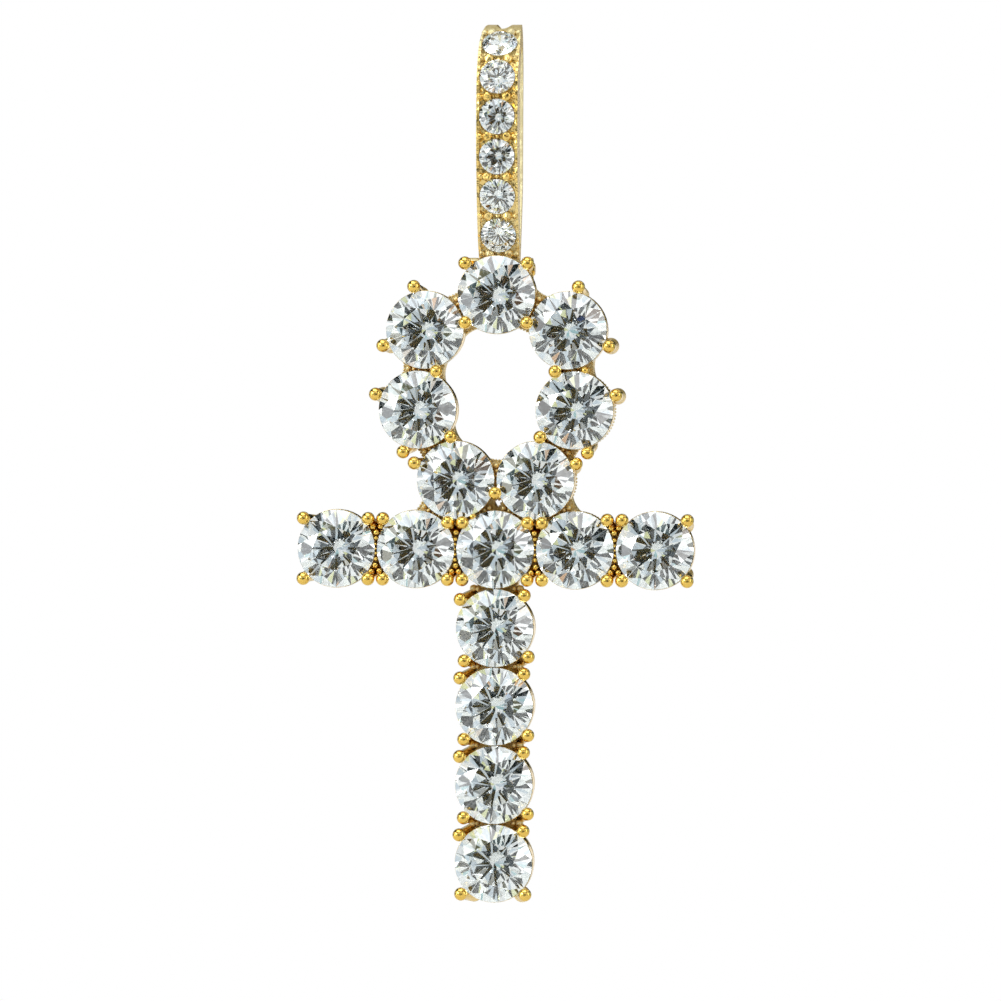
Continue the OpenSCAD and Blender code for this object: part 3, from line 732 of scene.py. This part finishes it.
class PENDANT_OT_studio(bpy.types.Operator):
    """Build the floor and the soft light"""

    bl_idname = "pendant.studio"
    bl_label = "Studio"

    def execute(self, context):
        look = context.scene.pendant_studio
        middle = (CAD_BOX[0] + CAD_BOX[1]) / 2
        self.build_floor(context.scene, look, middle)
        self.build_tent(context.scene, look)
        for name, place, size, brightness in SOFTBOXES:
            light = bpy.data.lights.new(name, "AREA")
            light.shape = "RECTANGLE"
            light.size, light.size_y = size
            light.energy = brightness * math.pi * size[0] * size[1]
            lamp = bpy.data.objects.new(name, light)
            lamp.location = middle + Vector(place)
            lamp.rotation_euler = (-Vector(place)).to_track_quat("-Z", "Y").to_euler()
            lamp.visible_camera = False
            context.scene.collection.objects.link(lamp)
        return {"FINISHED"}

    def build_floor(self, scene, look, middle):
        """A disc of pale matt card, which shows no gloss and fades into the white behind it."""
        radius = look.floor_radius
        turns = [2 * math.pi * i / FLOOR_SIDES for i in range(FLOOR_SIDES)]
        rim = [(radius * math.cos(turn), radius * math.sin(turn), 0) for turn in turns]
        mesh = bpy.data.meshes.new("floor")
        mesh.from_pydata(rim, [], [tuple(range(FLOOR_SIDES))])
        floor = bpy.data.objects.new("floor", mesh)
        floor.location = (middle.x, middle.y, CAD_BOX[0].z - look.floor_below)
        scene.collection.objects.link(floor)

        material, tree = new_material("matt_card")
        place = add_node(tree, "ShaderNodeTexCoord").outputs["Object"]
        away = add_node(tree, "ShaderNodeVectorMath", {
            0: place,
        }, operation="LENGTH").outputs["Value"]
        fade = add_node(tree, "ShaderNodeMapRange", {
            "Value": away,
            "From Min": FLOOR_FADE[0] * radius,
            "From Max": FLOOR_FADE[1] * radius,
        }, interpolation_type="SMOOTHSTEP").outputs["Result"]
        card = add_node(tree, "ShaderNodeBsdfPrincipled", {
            "Base Color": linear(look.floor), "Roughness": FLOOR_ROUGHNESS,
        }).outputs["BSDF"]
        clear = add_node(tree, "ShaderNodeBsdfTransparent").outputs["BSDF"]
        mixed = add_node(tree, "ShaderNodeMixShader", {
            0: fade, 1: card, 2: clear,
        }).outputs["Shader"]
        add_node(tree, "ShaderNodeOutputMaterial", {"Surface": mixed})
        mesh.materials.append(material)

    def build_tent(self, scene, look):
        """White behind the pendant, and around the camera a tent of light and dark cloths with
        an opening, whose patches the facets of the stones mirror one by one."""
        world = bpy.data.worlds.new("studio")
        world.use_nodes = True
        tree = world.node_tree
        tree.nodes.clear()
        direction = add_node(tree, "ShaderNodeTexCoord").outputs["Generated"]
        behind = add_node(tree, "ShaderNodeSeparateXYZ", {"Vector": direction}).outputs["Y"]
        back_light = add_node(tree, "ShaderNodeMapRange", {
            "Value": behind,
            "From Min": ROOM_TO_WALL[0],
            "From Max": ROOM_TO_WALL[1],
            "To Min": look.room,
            "To Max": look.wall,
        }, interpolation_type="SMOOTHSTEP").outputs["Result"]
        level = add_node(tree, "ShaderNodeMapRange", {
            "Value": behind,
            "From Min": FRONT_TO_ROOM[0],
            "From Max": FRONT_TO_ROOM[1],
            "To Min": look.front,
            "To Max": back_light,
        }, interpolation_type="SMOOTHSTEP").outputs["Result"]

        patch = add_node(tree, "ShaderNodeTexVoronoi", {
            "Vector": direction, "Scale": PATCHES,
        }).outputs["Color"]
        number = add_node(tree, "ShaderNodeSeparateColor", {"Color": patch}).outputs["Red"]
        cloth = add_node(tree, "ShaderNodeValToRGB", {"Fac": number})
        ramp = cloth.color_ramp
        ramp.interpolation = "CONSTANT"
        while len(ramp.elements) < len(CLOTHS):
            ramp.elements.new(1.0)
        for element, (start, colour) in zip(ramp.elements, CLOTHS):
            element.position, element.color = start, linear(colour)

        azimuth, elevation, wide, high = (math.radians(angle) for angle in OPENING)
        turned = add_node(tree, "ShaderNodeVectorRotate", {
            "Vector": direction, "Rotation": (0.0, 0.0, -azimuth),
        }, rotation_type="EULER_XYZ").outputs["Vector"]
        tilted = add_node(tree, "ShaderNodeVectorRotate", {
            "Vector": turned, "Rotation": (elevation, 0.0, 0.0),
        }, rotation_type="EULER_XYZ").outputs["Vector"]
        squeezed = add_node(tree, "ShaderNodeVectorMath", {
            0: tilted, 1: (1 / math.sin(wide / 2), 0.0, 1 / math.sin(high / 2)),
        }, operation="MULTIPLY").outputs["Vector"]
        away = add_node(tree, "ShaderNodeVectorMath", {
            0: squeezed,
        }, operation="LENGTH").outputs["Value"]
        inside = add_node(tree, "ShaderNodeMapRange", {
            "Value": away, "From Min": OPENING_FADE[0], "From Max": OPENING_FADE[1],
        }, interpolation_type="SMOOTHSTEP").outputs["Result"]
        forward = add_node(tree, "ShaderNodeSeparateXYZ", {"Vector": tilted}).outputs["Y"]
        ahead = add_node(tree, "ShaderNodeMath", {
            0: forward, 1: 0.0,
        }, operation="LESS_THAN").outputs["Value"]
        shade = add_node(tree, "ShaderNodeMath", {
            0: inside, 1: ahead,
        }, operation="MULTIPLY").outputs["Value"]
        lit = add_node(tree, "ShaderNodeMix", {
            "Factor": shade, MIX_A: cloth.outputs["Color"], MIX_B: linear(look.dark),
        }, data_type="RGBA").outputs[MIX_RESULT]

        tent = add_node(tree, "ShaderNodeBackground", {"Color": lit, "Strength": level})
        paper = add_node(tree, "ShaderNodeBackground", {
            "Color": (1.0, 1.0, 1.0, 1.0), "Strength": 1.0,
        })
        seen = add_node(tree, "ShaderNodeLightPath").outputs["Is Camera Ray"]
        both = add_node(tree, "ShaderNodeMixShader", {
            0: seen, 1: tent.outputs["Background"], 2: paper.outputs["Background"],
        }).outputs["Shader"]
        add_node(tree, "ShaderNodeOutputWorld", {"Surface": both})
        scene.world = world
        scene.view_settings.view_transform = "Standard"
        scene.cycles.max_bounces = STONE_BOUNCES
        scene.cycles.transmission_bounces = STONE_BOUNCES
        scene.cycles.glossy_bounces = METAL_BOUNCES


class PENDANT_OT_camera(bpy.types.Operator):
    """Place the camera where the photograph was taken from"""

    bl_idname = "pendant.camera"
    bl_label = "Camera"

    def execute(self, context):
        place = context.scene.pendant_camera
        back = Vector((
            math.sin(place.azimuth) * math.cos(place.elevation),
            -math.cos(place.azimuth) * math.cos(place.elevation),
            math.sin(place.elevation),
        ))
        data = bpy.data.cameras.new("camera")
        data.sensor_width = SENSOR_MM
        data.lens = SENSOR_MM * place.distance / (FRAME_PX / PX_PER_MM * MM)
        data.clip_start, data.clip_end = CLIP
        camera = bpy.data.objects.new("camera", data)
        camera.location = TOP_STONE + Vector(place.target) + back * place.distance
        camera.rotation_mode = "QUATERNION"
        lean = Matrix.Rotation(place.roll, 3, "Z").to_quaternion()
        camera.rotation_quaternion = (-back).to_track_quat("-Z", "Y") @ lean
        context.scene.collection.objects.link(camera)
        context.scene.camera = camera
        return {"FINISHED"}


class PENDANT_PT_panel(bpy.types.Panel):
    """Lists the pieces of the pendant and the values that a user would change"""

    bl_label = "Ankh pendant"
    bl_idname = "PENDANT_PT_panel"
    bl_space_type = "VIEW_3D"
    bl_region_type = "UI"
    bl_category = "Ankh"

    def draw(self, context):
        for operator in OPERATORS:
            self.layout.operator(operator.bl_idname)
        for group in GROUPS:
            settings = getattr(context.scene, group)
            for name in settings.__annotations__:
                self.layout.prop(settings, name)


# In the order in which they run: the grains take the settings' material
OPERATORS = (
    PENDANT_OT_camera,
    PENDANT_OT_settings,
    PENDANT_OT_milgrain,
    PENDANT_OT_bail,
    PENDANT_OT_hinge_pin,
    PENDANT_OT_stones,
    PENDANT_OT_studio,
)
GROUPS = {
    "pendant_metal": MetalFinish,
    "pendant_stones": StoneFinish,
    "pendant_studio": StudioLook,
    "pendant_camera": CameraPlace,
}


def register():
    for kind in (*GROUPS.values(), *OPERATORS, PENDANT_PT_panel):
        bpy.utils.register_class(kind)
    for name, kind in GROUPS.items():
        setattr(bpy.types.Scene, name, bpy.props.PointerProperty(type=kind))


def unregister():
    for name in GROUPS:
        delattr(bpy.types.Scene, name)
    for kind in (PENDANT_PT_panel, *reversed(OPERATORS), *reversed(tuple(GROUPS.values()))):
        bpy.utils.unregister_class(kind)


def main():
    register()
    for operator in OPERATORS:
        group, name = operator.bl_idname.split(".")
        getattr(getattr(bpy.ops, group), name)()


if __name__ == "__main__":
    main()
